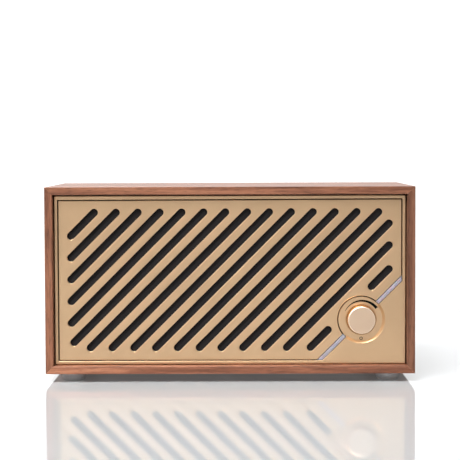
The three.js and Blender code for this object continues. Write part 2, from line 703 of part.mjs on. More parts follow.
function addAerial() {
  const mountFront = BACK_OUTER + GAP;
  const mountBack = mountFront + 2.2;
  add('aerial_mount', turned([
    [0, mountFront],
    [9, mountFront],
    [9, mountFront + 1],
    [7.6, mountBack],
    [0, mountBack],
  ], AERIAL_X, AERIAL_Z, 32), blackPlastic);

  const discBack = AERIAL_DEPTH - EAR_RADIUS + 0.6;
  const ear = (z0, z1) => rodAlongZ(EAR_RADIUS, z0, z1, AERIAL_X, AERIAL_DEPTH)
    .add(block(AERIAL_X - EAR_RADIUS, AERIAL_X + EAR_RADIUS, discBack - 0.4, AERIAL_DEPTH, z0, z1))
    .subtract(rodAlongZ(PIN_RADIUS + GAP, z0 - 1, z1 + 1, AERIAL_X, AERIAL_DEPTH, 16));
  const swivel = rod(7.2, mountBack + GAP, discBack, AERIAL_X, AERIAL_Z, 32)
    .add(ear(AERIAL_Z + EAR_INNER, AERIAL_Z + EAR_OUTER))
    .add(ear(AERIAL_Z - EAR_OUTER, AERIAL_Z - EAR_INNER));
  add('aerial_swivel', swivel, chrome);

  const pin = rodAlongZ(PIN_RADIUS, AERIAL_Z - EAR_OUTER - 0.8, AERIAL_Z + EAR_OUTER + 0.8,
    AERIAL_X, AERIAL_DEPTH, 16)
    .add(pinHead(AERIAL_Z + EAR_OUTER + GAP))
    .add(pinHead(AERIAL_Z - EAR_OUTER - GAP - 0.7));
  add('aerial_pin', pin, steel);

  const mouth = AERIAL_X - MAST_REACH;
  SECTION_RADII.forEach((radius, k) => {
    const outerEnd = mouth - k * SECTION_STEP;
    const bore = radius - SECTION_WALL;
    if (k === 0) {
      const tongue = rodAlongZ(3.2, AERIAL_Z - EAR_INNER + GAP, AERIAL_Z + EAR_INNER - GAP,
        AERIAL_X, AERIAL_DEPTH, 24);
      const tube = rodAlongX(radius, outerEnd, AERIAL_X - 2, AERIAL_DEPTH, AERIAL_Z, 20)
        .add(tongue)
        .subtract(rodAlongX(bore, outerEnd - 1, AERIAL_X - 10, AERIAL_DEPTH, AERIAL_Z, 20))
        .subtract(rodAlongZ(PIN_RADIUS + GAP, AERIAL_Z - 5, AERIAL_Z + 5, AERIAL_X, AERIAL_DEPTH, 16));
      add('aerial_section_1', tube, chrome);
      return;
    }
    const innerEnd = AERIAL_X - 10 - k * 3;
    const section = rodAlongX(radius, outerEnd, innerEnd, AERIAL_DEPTH, AERIAL_Z, 16);
    const last = k === SECTION_RADII.length - 1;
    if (last) {
      const cap = rodAlongX(SECTION_RADII[0], outerEnd - 7, outerEnd + 0.5, AERIAL_DEPTH, AERIAL_Z, 20);
      add(`aerial_section_${k + 1}`, section.add(cap), chrome);
      return;
    }
    const hollow = rodAlongX(bore, outerEnd - 1, innerEnd - 2, AERIAL_DEPTH, AERIAL_Z, 16);
    add(`aerial_section_${k + 1}`, section.subtract(hollow), chrome);
  });
}

function pinHead(z0) {
  return rodAlongZ(2.2, z0, z0 + 0.7, AERIAL_X, AERIAL_DEPTH, 16);
}

addSleeve();
addCorners();
addFeet();
addFront();
addKnob();
addBaffle();
addDriver('left', -DRIVER_X);
addDriver('right', DRIVER_X);
addBack();
addElectronics();
addAerial();

export default radio;
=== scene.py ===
"""Looks of the tabletop radio: what shows is built or finished here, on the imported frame.

Metres, in the frame of the CAD: +X right seen from the front, +Y to the back, +Z up. A depth is a
distance behind the sleeve's front edge.
"""

import json
import math

import bmesh
import bpy
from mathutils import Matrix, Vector, geometry


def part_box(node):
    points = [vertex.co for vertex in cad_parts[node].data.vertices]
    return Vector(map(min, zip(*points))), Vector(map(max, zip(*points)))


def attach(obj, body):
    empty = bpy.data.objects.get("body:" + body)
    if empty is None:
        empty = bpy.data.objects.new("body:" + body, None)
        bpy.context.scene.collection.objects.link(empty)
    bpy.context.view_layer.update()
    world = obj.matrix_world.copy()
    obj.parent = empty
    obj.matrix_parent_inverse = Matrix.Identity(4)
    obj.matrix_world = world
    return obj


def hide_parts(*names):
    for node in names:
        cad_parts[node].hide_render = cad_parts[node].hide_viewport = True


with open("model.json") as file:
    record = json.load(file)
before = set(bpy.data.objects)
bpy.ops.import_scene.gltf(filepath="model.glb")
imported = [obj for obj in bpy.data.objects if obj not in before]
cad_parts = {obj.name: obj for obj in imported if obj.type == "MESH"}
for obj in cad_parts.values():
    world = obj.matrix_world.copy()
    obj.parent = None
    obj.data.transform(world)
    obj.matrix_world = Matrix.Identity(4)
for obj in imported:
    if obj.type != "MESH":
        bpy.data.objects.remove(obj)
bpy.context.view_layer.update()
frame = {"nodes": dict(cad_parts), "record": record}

# ---- Sizes and places, from the frame ----

MM = 0.001
sleeve_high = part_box("cabinet_right")[1]
top_low, top_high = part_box("cabinet_top")
bottom_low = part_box("cabinet_bottom")[0]
plate_low, plate_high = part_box("front_frame")
panel_low, panel_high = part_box("grille_panel")
knob_low, knob_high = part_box("volume_knob")
back_low, back_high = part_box("back_panel")
port_low, port_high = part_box("port_tube")

FRONT = top_low.y
BACK = top_high.y
HALF = sleeve_high.x
BOTTOM = bottom_low.z
TOP = top_high.z
BOARD = top_high.z - top_low.z
KNOB_X = (knob_low.x + knob_high.x) / 2
KNOB_Z = (knob_low.z + knob_high.z) / 2
KNOB_RADIUS = (knob_high.x - knob_low.x) / 2
GROOVE = 0.65 * MM  # between the slotted panel and its rim, strip and dish
DISH_RADIUS = 13.35 * MM
WELL_RADIUS = 9.0 * MM
DISH_DEPTH = 0.9 * MM
DISH_RAMP = (12.3 * MM, 14.2 * MM)  # the radii between which the dish rises to the corner plate
POCKET_DEPTH = 2.6 * MM  # from the rim's face down to the seat of the slotted panel
SEAT_WIDTH = 4 * MM
SEAM = 0.04 * MM  # half of the hairline between two boards at a mitre
STRIP_DIAGONAL = KNOB_X - KNOB_Z
STRIP_WIDTH = 2.3 * MM
STRIP_SHIFT = 0.22 * MM  # of the strip's middle from the knob's diagonal, towards the panel
STRIP_EDGE = STRIP_WIDTH / 2 - STRIP_SHIFT + 0.12 * MM  # from the knob's diagonal to the corner plate
STRIP_TO_PANEL = 1.7 * MM
RIM_OVERLAP = 0.28 * MM  # how far the rim's folded edge stands out past the plate behind it
SLOT_RADIUS = 2.28 * MM
SLOT_COUNT = 16  # unbroken slots; one more is split by the dish
SLOT_PITCH = 12.815 * MM  # in x - z, which is the same all along a slot
FIRST_DIAGONAL = -178.78 * MM
SPLIT_DIAGONAL = 27.43 * MM
SPLIT_RADIUS = 20.4 * MM  # from the knob's axis to the near ends of the split slot
SLOT_MARGIN = 7.25 * MM
SLOT_FIELD_CORNER = 7.5 * MM
PIN_BORE = 1.6 * MM  # the radius of the holes that the aerial's pin goes through
ROOT2 = math.sqrt(2)

# ---- Nodes and materials ----


def node(tree, kind, inputs=None, **settings):
    """Adds a node. A socket given as an input is linked, and any other value is set."""
    made = tree.nodes.new(kind)
    for key, value in settings.items():
        setattr(made, key, value)
    for key, value in (inputs or {}).items():
        if isinstance(value, bpy.types.NodeSocket):
            tree.links.new(value, made.inputs[key])
        else:
            made.inputs[key].default_value = value
    return made


def ramp(tree, factor, *stops):
    """A colour ramp through (position, colour) stops, where a colour is a grey or linear RGB."""
    made = node(tree, "ShaderNodeValToRGB", {"Fac": factor})
    elements = made.color_ramp.elements
    while len(elements) < len(stops):
        elements.new(0.5)
    for element, (position, color) in zip(elements, stops):
        element.position = position
        element.color = (color,) * 3 + (1,) if isinstance(color, float) else (*color, 1)
    return made.outputs["Color"]


def noise(tree, vector, scale, detail=3.0, roughness=0.5, distortion=0.0):
    values = {"Vector": vector, "Scale": scale, "Detail": detail}
    values.update({"Roughness": roughness, "Distortion": distortion})
    return node(tree, "ShaderNodeTexNoise", values).outputs["Fac"]


def maths(tree, operation, a, b=0.0):
    return node(tree, "ShaderNodeMath", {0: a, 1: b}, operation=operation).outputs[0]


def blended(tree, a, a_share, b, b_share):
    """The sum of two values, each times its share."""
    return maths(tree, "ADD", maths(tree, "MULTIPLY", a, a_share), maths(tree, "MULTIPLY", b, b_share))


def mixed(tree, factor, a, b, blend="MIX"):
    made = node(tree, "ShaderNodeMix", data_type="RGBA", blend_type=blend)
    for index, value in ((0, factor), (6, a), (7, b)):
        if isinstance(value, bpy.types.NodeSocket):
            tree.links.new(value, made.inputs[index])
        elif index == 0:
            made.inputs[0].default_value = value
        else:
            made.inputs[index].default_value = (*value, 1)
    return made.outputs[2]


def spread(tree, factor, low, high):
    """Maps a noise's usual span, 0.3 to 0.7, onto low to high."""
    values = {"Value": factor, "From Min": 0.3, "From Max": 0.7, "To Min": low, "To Max": high}
    return node(tree, "ShaderNodeMapRange", values).outputs[0]


class Surface:
    """A material with its node tree, its shader, and the object's own coordinates in metres."""

    def __init__(self, name, **shader):
        self.material = bpy.data.materials.new(name)
        self.material.use_nodes = True
        self.tree = self.material.node_tree
        self.shader = self.tree.nodes["Principled BSDF"]
        self.place = node(self.tree, "ShaderNodeTexCoord").outputs["Object"]
        for key, value in shader.items():
            self.set(key.replace("_", " "), value)

    def set(self, key, value):
        if isinstance(value, bpy.types.NodeSocket):
            self.tree.links.new(value, self.shader.inputs[key])
        elif isinstance(value, tuple):
            self.shader.inputs[key].default_value = (*value, 1)
        else:
            self.shader.inputs[key].default_value = value

    def mapped(self, scale, shift=(0, 0, 0)):
        values = {"Vector": self.place, "Scale": scale, "Location": shift}
        return node(self.tree, "ShaderNodeMapping", values).outputs[0]

    def bump(self, height, strength, distance):
        values = {"Height": height, "Strength": strength, "Distance": distance}
        self.set("Normal", node(self.tree, "ShaderNodeBump", values).outputs[0])


def walnut(name, along, shift, painted_light_factor):
    """Satin walnut veneer, its grain along one axis (0, 1 or 2), from its own part of the log, with all its
    colours scaled by a painted-light factor that stands for the light and shade on its side of the sleeve.
    """
    s = Surface(name)
    stretch = [1.0, 1.0, 1.0]
    stretch[along] = 0.045
    log = s.mapped(tuple(stretch), shift)
    bands = noise(s.tree, log, 150, 5.0, 0.55, 0.8)
    streaks = noise(s.tree, log, 900, 6.0, 0.65, 0.3)
    fibres = noise(s.tree, log, 3200, 3.0, 0.6)
    wood_tone_and_painted_light = blended(s.tree, bands, 0.6, streaks, 0.4)
    stops = (
        (0.34, (0.085, 0.030, 0.016)),
        (0.45, (0.205, 0.077, 0.041)),
        (0.54, (0.33, 0.134, 0.073)),
        (0.68, (0.43, 0.195, 0.11)),
    )
    # Painted light: the grain's colours are scaled by the board's factor, so a shaded side is darker all
    # over.
    painted_light_stops = [(position, tuple(c * painted_light_factor for c in color)) for position, color in stops]
    wood = ramp(s.tree, wood_tone_and_painted_light, *painted_light_stops)
    pores = ramp(s.tree, fibres, (0.36, 0.45), (0.46, 1.0))
    s.set("Base Color", mixed(s.tree, 1.0, wood, pores, "MULTIPLY"))
    s.set("Roughness", spread(s.tree, streaks, 0.46, 0.34))
    s.set("Specular IOR Level", 0.32)
    s.bump(maths(s.tree, "ADD", fibres, streaks), 0.25, 0.08 * MM)
    return s.material


def gold(name, base, roughness, grain):
    """Champagne anodised aluminium: bead-blasted where grain is high, polished where it is low."""
    s = Surface(name, Metallic=1.0)
    drift = noise(s.tree, s.place, 22, 2.0)
    blast = noise(s.tree, s.place, 5200, 2.0, 0.6)
    paler = tuple(min(1.0, c * 1.05) for c in base)
    darker = tuple(c * 0.96 for c in base)
    s.set("Base Color", mixed(s.tree, spread(s.tree, drift, 0.0, 1.0), darker, paler))
    s.set("Roughness", spread(s.tree, blast, roughness * 0.85, roughness * 1.15))
    s.bump(blast, grain, 0.02 * MM)
    return s.material


def weave():
    """Open black speaker cloth in plain weave, with a little fuzz."""
    s = Surface("speaker_cloth", Roughness=0.92)
    thread_pitch = 0.85 * MM
    turns = 2 * math.pi / thread_pitch
    axes = node(s.tree, "ShaderNodeSeparateXYZ", {0: s.place})
    across = maths(s.tree, "SINE", maths(s.tree, "MULTIPLY", axes.outputs["X"], turns))
    along = maths(s.tree, "SINE", maths(s.tree, "MULTIPLY", axes.outputs["Z"], turns))
    crossing = maths(s.tree, "MULTIPLY", across, along)
    height = maths(s.tree, "ADD", maths(s.tree, "MULTIPLY", crossing, 0.5), 0.5)
    fuzz = noise(s.tree, s.place, 2600, 4.0, 0.7)
    thread = blended(s.tree, height, 0.6, fuzz, 0.4)
    s.set("Base Color", ramp(
        s.tree, thread,
        (0.25, (0.002, 0.002, 0.0025)), (0.5, (0.0105, 0.0095, 0.0105)), (0.75, (0.028, 0.0265, 0.029)),
    ))
    s.set("Specular IOR Level", 0.12)
    s.set("Sheen Weight", 0.04)
    s.set("Sheen Roughness", 0.6)
    s.bump(thread, 0.8, 0.2 * MM)
    return s.material


def moulded(name, base, roughness, grain=0.35, scale=3600, specular=0.5):
    """Moulded plastic, rubber, board or paint with a fine texture."""
    s = Surface(name)
    s.set("Specular IOR Level", specular)
    drift = noise(s.tree, s.place, 60, 3.0)
    texture = noise(s.tree, s.place, scale, 2.0, 0.6)
    paler = tuple(c * 1.2 + 0.004 for c in base)
    s.set("Base Color", mixed(s.tree, spread(s.tree, drift, 0.0, 1.0), base, paler))
    s.set("Roughness", spread(s.tree, texture, roughness * 0.88, min(1.0, roughness * 1.12)))
    s.bump(texture, grain, 0.05 * MM)
    return s.material


def metal(name, base, roughness, drawn_along=None):
    """Bare or plated metal. A drawn one has fine lines along an axis."""
    s = Surface(name, Metallic=1.0)
    stretch = [1.0, 1.0, 1.0]
    if drawn_along is not None:
        stretch[drawn_along] = 0.03
    lines = noise(s.tree, s.mapped(tuple(stretch)), 2400, 3.0, 0.6)
    smears = noise(s.tree, s.place, 90, 3.0)
    darker = tuple(c * 0.94 for c in base)
    s.set("Base Color", mixed(s.tree, spread(s.tree, smears, 0.0, 1.0), darker, base))
    s.set("Roughness", spread(s.tree, lines, roughness * 0.75, roughness * 1.3))
    s.bump(lines, 0.08, 0.02 * MM)
    return s.material


def light_guide():
    """Frosted acrylic, unlit."""
    s = Surface("frosted_guide")
    cloud = noise(s.tree, s.place, 500, 3.0)
    darker, paler = (0.255, 0.235, 0.275), (0.325, 0.30, 0.345)
    s.set("Base Color", mixed(s.tree, spread(s.tree, cloud, 0.0, 1.0), darker, paler))
    s.set("Roughness", spread(s.tree, cloud, 0.28, 0.42))
    s.set("Subsurface Weight", 0.35)
    s.set("Subsurface Scale", 1.5 * MM)
    s.bump(noise(s.tree, s.place, 4000, 2.0), 0.2, 0.03 * MM)
    return s.material


GOLD_SATIN = gold("gold_satin", (0.728, 0.487, 0.288), 0.34, 0.5)
# Painted shade: the seat is the rim's gold, darkened to stand for the shade in the groove round the slotted
# panel.
GOLD_SEAT_PAINTED_SHADE = gold("gold_seat_painted_shade", (0.09, 0.06, 0.04), 0.5, 0.5)
GOLD_KNOB = gold("gold_knob_face", (0.80, 0.585, 0.42), 0.36, 0.4)
GOLD_CUT = gold("gold_cut_edge", (0.97, 0.86, 0.72), 0.48, 0.03)
GOLD_POLISHED = gold("gold_polished", (0.88, 0.60, 0.34), 0.22, 0.03)
CLOTH = weave()
GUIDE = light_guide()
INK = moulded("printed_ink", (0.002, 0.002, 0.002), 0.9, specular=0.0)
GREY_RUBBER = moulded("rubber_feet", (0.5, 0.5, 0.505), 0.8, 0.6, 1800)
RUBBER = moulded("black_rubber", (0.016, 0.016, 0.017), 0.85, 0.6, 1800)
BLACK_PLASTIC = moulded("textured_plastic", (0.011, 0.011, 0.012), 0.48, 0.7, 2400)
SMOOTH_PLASTIC = moulded("smooth_plastic", (0.013, 0.013, 0.014), 0.25, 0.08)
BAFFLE = moulded("painted_fibreboard", (0.02, 0.019, 0.018), 0.75)
PINE = moulded("sawn_pine", (0.55, 0.36, 0.18), 0.7, 0.8, 700)
CIRCUIT = moulded("solder_mask", (0.01, 0.085, 0.035), 0.35, 0.3, 1500)
PAPER = moulded("paper_cone", (0.03, 0.028, 0.026), 0.85, 0.7, 1200)
FERRITE = moulded("ferrite", (0.045, 0.045, 0.048), 0.6, 0.6, 1500)
WIRE = moulded("wire_jacket", (0.13, 0.012, 0.012), 0.45, 0.1)
CHROME = metal("chrome_plate", (0.80, 0.81, 0.83), 0.09, 0)
STEEL = metal("zinc_plate", (0.55, 0.56, 0.58), 0.3)
DARK_STEEL = metal("blackened_steel", (0.05, 0.05, 0.053), 0.38)
ALUMINIUM = metal("mill_aluminium", (0.62, 0.63, 0.65), 0.36, 2)

# ---- Mesh tools ----


def piece(name, bm, body, materials, replaces=()):
    """Turns a bmesh into a shown piece that rides on a body and stands for CAD nodes."""
    mesh = bpy.data.meshes.new(name)
    bmesh.ops.recalc_face_normals(bm, faces=bm.faces)
    bm.to_mesh(mesh)
    bm.free()
    for item in materials:
        mesh.materials.append(item)
    mesh.shade_smooth()
    mesh.set_sharp_from_angle(angle=math.radians(38))
    obj = bpy.data.objects.new(name, mesh)
    bpy.context.scene.collection.objects.link(obj)
    weighted = obj.modifiers.new("weighted_normals", "WEIGHTED_NORMAL")
    weighted.keep_sharp = True
    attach(obj, body)
    if replaces:
        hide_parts(*replaces)
    return obj


def rounded(corners, closed=False, steps=5):
    """Points along a path of (u, v, radius) corners, each turned into an arc of that radius."""
    count = len(corners)
    points = []
    for k, (u, v, radius) in enumerate(corners):
        here = Vector((u, v))
        if radius == 0 or (not closed and k in (0, count - 1)):
            points.append(here)
            continue
        before = (Vector(corners[k - 1][:2]) - here).normalized()
        after = (Vector(corners[(k + 1) % count][:2]) - here).normalized()
        half = before.angle(after) / 2
        reach = radius / math.tan(half)
        centre = here + (before + after).normalized() * (radius / math.sin(half))
        start = here + before * reach - centre
        end = here + after * reach - centre
        turn = start.angle_signed(end)
        for step in range(steps + 1):
            angle = -turn * step / steps
            points.append(centre + Vector((
                start.x * math.cos(angle) - start.y * math.sin(angle),
                start.x * math.sin(angle) + start.y * math.cos(angle),
            )))
    return points


def turned(bm, profile, centre, axis=1, segments=96, changes=(), closed=False):
    """Turns a profile of (radius, place) points about an axis (0, 1 or 2) through a centre, where a
    place is a coordinate along that axis. Each of the profile's point numbers in changes starts
    the next material."""
    others = [k for k in range(3) if k != axis]
    rings = []
    for radius, place in profile:
        count = 1 if radius < 1e-7 else segments
        ring = []
        for k in range(count):
            angle = 2 * math.pi * k / segments
            point = Vector(centre)
            point[axis] = place
            if count > 1:
                point[others[0]] += radius * math.cos(angle)
                point[others[1]] += radius * math.sin(angle)
            ring.append(bm.verts.new(point))
        rings.append(ring)
    pairs = list(zip(rings, rings[1:]))
    if closed:
        pairs.append((rings[-1], rings[0]))
    for number, (a, b) in enumerate(pairs):
        index = sum(number >= change for change in changes)
        for k in range(segments):
            n = (k + 1) % segments
            corners = [a[k % len(a)], a[n % len(a)], b[n % len(b)], b[k % len(b)]]
            face = bm.faces.new(dict.fromkeys(corners))
            face.material_index = index
    return bm


def offset_loop(loop, distances):
    """Moves each point of a closed loop to its left by its distance, with mitred corners."""
    moved = []
    count = len(loop)
    for k, here in enumerate(loop):
        before = (here - loop[k - 1]).normalized()
        after = (loop[(k + 1) % count] - here).normalized()
        side = Vector((-before.y - after.y, before.x + after.x)).normalized()
        scale = max(0.35, side.dot(Vector((-after.y, after.x))))
        moved.append(here + side * (distances[k] / scale))
    return moved


def area(loop):
    return sum(a.cross(b) for a, b in zip(loop, loop[1:] + loop[:1])) / 2


def plate(bm, outer, holes, front, back, lip, steps=4):
    """A flat plate in X and Z from its front to its back along Y, with rounded lips round its
    front: the outer loop and the holes are (x, z) loops. The lip's radius is a length, or a
    function that gives it at a point."""
    inward = math.copysign(1, back - front)
    loops = [outer if area(outer) > 0 else outer[::-1]]
    loops += [hole if area(hole) < 0 else hole[::-1] for hole in holes]
    fronts, backs = [], []
    for loop in loops:
        lips = [lip(p) if callable(lip) else lip for p in loop]
        rings = []
        for step in range(steps + 1):
            angle = math.pi / 2 * step / steps
            moved = offset_loop(loop, [r * (1 - math.sin(angle)) for r in lips])
            rings.append([
                bm.verts.new((p.x, front + inward * r * (1 - math.cos(angle)), p.y))
                for p, r in zip(moved, lips)
            ])
        rings.append([bm.verts.new((p.x, back, p.y)) for p in loop])
        for a, b in zip(rings, rings[1:]):
            for k in range(len(loop)):
                n = (k + 1) % len(loop)
                bm.faces.new((a[k], a[n], b[n], b[k]))
        fronts.append(rings[0])
        backs.append(rings[-1])
    for rings in (fronts, backs):
        verts = [v for ring in rings for v in ring]
        flat = [[(v.co.x, v.co.z, 0) for v in ring] for ring in rings]
        for corners in geometry.tessellate_polygon(flat):
            bm.faces.new([verts[k] for k in corners])
    return bm


def circle(x, z, radius, segments=64):
    angles = (2 * math.pi * k / segments for k in range(segments))
    return [Vector((x + radius * math.cos(a), z + radius * math.sin(a))) for a in angles]


def arc(x, z, radius, start, end, segments):
    """Points on an arc from one angle to another, counter-clockwise where end is larger."""
    angles = (start + (end - start) * k / segments for k in range(segments + 1))
    return [Vector((x + radius * math.cos(a), z + radius * math.sin(a))) for a in angles]


def rectangle(x0, x1, z0, z1, radius):
    corners = [(x, z, radius) for x, z in ((x0, z0), (x1, z0), (x1, z1), (x0, z1))]
    return rounded(corners, closed=True)


# ---- Sleeve ----


def board(name, section, material, node_name):
    """A board of the sleeve: a mitred section in X and Z, along the sleeve's whole depth, from the
    section's outer corners to its inner ones. Its front inner edge is eased most, its other long
    edges less, and its mitres are left nearly sharp."""
    bm = bmesh.new()
    shares = bm.edges.layers.float.new("bevel_weight_edge")
    front = [bm.verts.new((x, FRONT, z)) for x, z in section]
    back = [bm.verts.new((x, BACK, z)) for x, z in section]
    bm.faces.new(front)
    bm.faces.new(back[::-1])
    for k in range(4):
        n = (k + 1) % 4
        bm.faces.new((front[n], front[k], back[k], back[n]))
    outer, inner = 0, 2
    for edge, ring, share in (
        (outer, front, 0.25),
        (inner, front, 1.0),
        (outer, back, 0.5),
        (inner, back, 0.5),
    ):
        bm.edges.get((ring[edge], ring[edge + 1]))[shares] = share
    for edge in bm.edges:
        if edge[shares] == 0:
            edge[shares] = 0.08
    obj = piece(name, bm, "chassis", [material], [node_name])
    bevel = obj.modifiers.new("eased_edges", "BEVEL")
    bevel.limit_method = "WEIGHT"
    bevel.width = 0.6 * MM
    bevel.segments = 4
    obj.modifiers.move(1, 0)


def sleeve():
    # The last number of each row is painted light: it scales the board's walnut darker for the shade on
    # that side, the top more than the bottom.
    for side, outer, inner, shift, wood_tone_and_painted_light in (
        ("top", TOP, TOP - BOARD, (0.3, 0.1, 0.0), 0.79),
        ("bottom", BOTTOM, BOTTOM + BOARD, (0.7, 0.4, 0.2), 0.99),
    ):
        section = [
            (-HALF + SEAM, outer),
            (HALF - SEAM, outer),
            (HALF - BOARD - SEAM, inner),
            (-HALF + BOARD + SEAM, inner),
        ]
        name = side + "_board"
        board(name, section, walnut("walnut_" + name, 0, shift, wood_tone_and_painted_light), "cabinet_" + side)
    # Here too the last number is painted light: the right board is darkened most, for the shade on the
    # right side.
    for side, sign, shift, wood_tone_and_painted_light in (
        ("left", -1, (0.1, 0.8, 0.5), 0.78),
        ("right", 1, (0.9, 0.2, 0.6), 0.5),
    ):
        section = [
            (sign * HALF, BOTTOM + SEAM),
            (sign * HALF, TOP - SEAM),
            (sign * (HALF - BOARD), TOP - BOARD - SEAM),
            (sign * (HALF - BOARD), BOTTOM + BOARD + SEAM),
        ]
        name = side + "_board"
        board(name, section, walnut("walnut_" + name, 2, shift, wood_tone_and_painted_light), "cabinet_" + side)


def feet():
    for place in ("front_left", "front_right", "rear_left", "rear_right"):
        low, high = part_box("foot_" + place)
        radius = (high.x - low.x) / 2
        profile = rounded([
            (0, low.z, 0),
            (radius - 1.2 * MM, low.z, 0.5 * MM),
            (radius - 0.2 * MM, low.z + 1.6 * MM, 0.8 * MM),
            (radius, BOTTOM, 0),
            (0, BOTTOM, 0),
        ])
        bm = turned(bmesh.new(), profile, (low + high) / 2, axis=2, segments=64)
        name = "foot_" + place
        piece("rubber_" + name, bm, "chassis", [GREY_RUBBER], [name])


# ---- Front ----


def split_loop(half, bottom, top, diagonal, radius, below):
    """The part of a rectangle above the diagonal with that x - z, which swings round the dish at a
    radius: below the knob, or else above it."""
    offset = (STRIP_DIAGONAL - diagonal) / ROOT2
    swing = math.acos(offset / radius)
    start = 0.75 * math.pi + swing
    end = 0.75 * math.pi - swing
    if below:
        end += 2 * math.pi
    corner = 0.4 * MM
    cut = diagonal + bottom
    loop = rounded([(-half, top, corner), (-half, bottom, corner), (cut, bottom, 0)], closed=True)
    loop += arc(KNOB_X, KNOB_Z, radius, start, end, 64)
    loop += [Vector((half, half - diagonal))]
    loop += rounded([(half, half - diagonal, 0), (half, top, corner), (-half, top, 0)])[1:-1]
    return loop


def field_end(c, sign):
    """Where the diagonal x - z = c ends in the field of slots, which has rounded corners."""
    centre_z = (panel_low.z + panel_high.z) / 2
    half_x = panel_high.x - SLOT_MARGIN
    half_z = (panel_high.z - panel_low.z) / 2 - SLOT_MARGIN
    shift = sign * (c + centre_z)
    x = min(half_x, half_z + shift)
    corner_x = half_x - SLOT_FIELD_CORNER
    corner_z = half_z - SLOT_FIELD_CORNER
    if x > corner_x and x - shift > corner_z:
        across = corner_x - corner_z - shift
        along = math.sqrt(SLOT_FIELD_CORNER**2 - across**2 / 2)
        x = corner_x - across / 2 + along / ROOT2
    return Vector((sign * x, centre_z + sign * (x - shift)))


def slot_loop(a, b):
    across = math.atan2(b.y - a.y, b.x - a.x) + math.pi / 2
    return (
        arc(a.x, a.y, SLOT_RADIUS, across, across + math.pi, 20)
        + arc(b.x, b.y, SLOT_RADIUS, across + math.pi, across + 2 * math.pi, 20)
    )


def slots():
    loops = []
    for k in range(SLOT_COUNT):
        c = FIRST_DIAGONAL + k * SLOT_PITCH
        loops.append(slot_loop(field_end(c, -1), field_end(c, 1)))
    offset = (STRIP_DIAGONAL - SPLIT_DIAGONAL) / ROOT2
    along = math.sqrt(SPLIT_RADIUS**2 - offset**2)
    middle = Vector((KNOB_X, KNOB_Z)) + Vector((-offset, offset)) / ROOT2
    for sign in (-1, 1):
        inner = middle + Vector((1, 1)) * (sign * along / ROOT2)
        loops.append(slot_loop(inner, field_end(SPLIT_DIAGONAL, sign)))
    return loops


def frame_lip(point):
    """The lips of the rim and corner plate: none where the dish's ramp joins, broad outside."""
    margin = 1 * MM
    inside_height = plate_low.z + margin < point.y < plate_high.z - margin
    if (point - Vector((KNOB_X, KNOB_Z))).length < DISH_RAMP[1] + 0.1 * MM:
        return 0.001 * MM
    if inside_height and abs(point.x) <= plate_high.x - margin:
        return 0.18 * MM
    return 0.35 * MM


def panel_outline(grow):
    """The slotted panel's outline, grown outwards."""
    diagonal = STRIP_DIAGONAL - (STRIP_TO_PANEL - grow) * ROOT2
    return split_loop(panel_high.x + grow, panel_low.z - grow, panel_high.z + grow, diagonal,
                      DISH_RADIUS + GROOVE - grow, False)


def front():
    face = plate_low.y
    outer = rectangle(plate_low.x - RIM_OVERLAP, plate_high.x + RIM_OVERLAP,
                      plate_low.z - RIM_OVERLAP, plate_high.z + RIM_OVERLAP, 0.9 * MM)
    corner = STRIP_DIAGONAL + STRIP_EDGE * ROOT2
    opening = split_loop(panel_high.x + GROOVE, panel_low.z - GROOVE, panel_high.z + GROOVE, corner,
                         DISH_RAMP[1], True)
    rim = plate(bmesh.new(), outer, [opening], face, plate_high.y, frame_lip, 6)
    dish_ramp(rim, face)
    piece("front_rim_and_corner", rim, "chassis", [GOLD_SATIN], ["front_frame"])

    # The seat's dark gold is painted shade for the groove.
    seat = plate(bmesh.new(), panel_outline(GROOVE + 0.2 * MM), [panel_outline(-SEAT_WIDTH)],
                 face + POCKET_DEPTH, plate_high.y, 0.05 * MM, steps=1)
    piece("grille_seat", seat, "chassis", [GOLD_SEAT_PAINTED_SHADE], ["front_frame"])

    floor = face + DISH_DEPTH
    collar = KNOB_RADIUS + 0.12 * MM
    collar_face = floor + 0.75 * MM
    profile = rounded([
        (collar, plate_high.y, 0),
        (collar, collar_face, 0.1 * MM),
        (WELL_RADIUS, collar_face, 0.1 * MM),
        (WELL_RADIUS, floor, 0.15 * MM),
        (DISH_RADIUS, floor + 0.01 * MM, 0.08 * MM),
        (DISH_RADIUS, face + POCKET_DEPTH, 0),
    ])
    dish = turned(bmesh.new(), profile, (KNOB_X, 0, KNOB_Z), segments=160)
    piece("knob_dish", dish, "chassis", [GOLD_SATIN], ["front_frame"])

    grille = plate(bmesh.new(), panel_outline(0), slots(), panel_low.y, panel_high.y, 0.26 * MM)
    piece("slotted_panel", grille, "chassis", [GOLD_SATIN], ["grille_panel"])
    cloth()
    light_strips()


def dish_ramp(bm, face):
    """The slope from the dish's floor up to the corner plate, between the two light strips."""
    inner, outer = DISH_RAMP
    profile = rounded([
        (inner, face + DISH_DEPTH, 0),
        (inner + 0.2 * MM, face + DISH_DEPTH, 0.3 * MM),
        (outer - 0.15 * MM, face, 0.3 * MM),
        (outer, face, 0),
        (outer, face + POCKET_DEPTH, 0),
        (inner, face + POCKET_DEPTH, 0),
    ])
    margin = math.asin(STRIP_EDGE / DISH_RADIUS)
    start, end = 1.25 * math.pi + margin, 2.25 * math.pi - margin
    count = 96
    rings = []
    for k in range(count + 1):
        angle = start + (end - start) * k / count
        rings.append([
            bm.verts.new((KNOB_X + radius * math.cos(angle), y, KNOB_Z + radius * math.sin(angle)))
            for radius, y in profile
        ])
    for a, b in zip(rings, rings[1:]):
        for k in range(len(profile)):
            n = (k + 1) % len(profile)
            bm.faces.new((a[k], a[n], b[n], b[k]))
    bm.faces.new(rings[0])
    bm.faces.new(rings[-1])


def cloth():
    """The cloth is stretched flat behind the slotted panel, just inside its outline."""
    low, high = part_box("grille_cloth")
    outline = panel_outline(-0.5 * MM)
    bm = plate(bmesh.new(), outline, [], low.y, high.y, 0.05 * MM, steps=1)
    sheet = piece("speaker_cloth", bm, "chassis", [CLOTH], ["grille_cloth"])


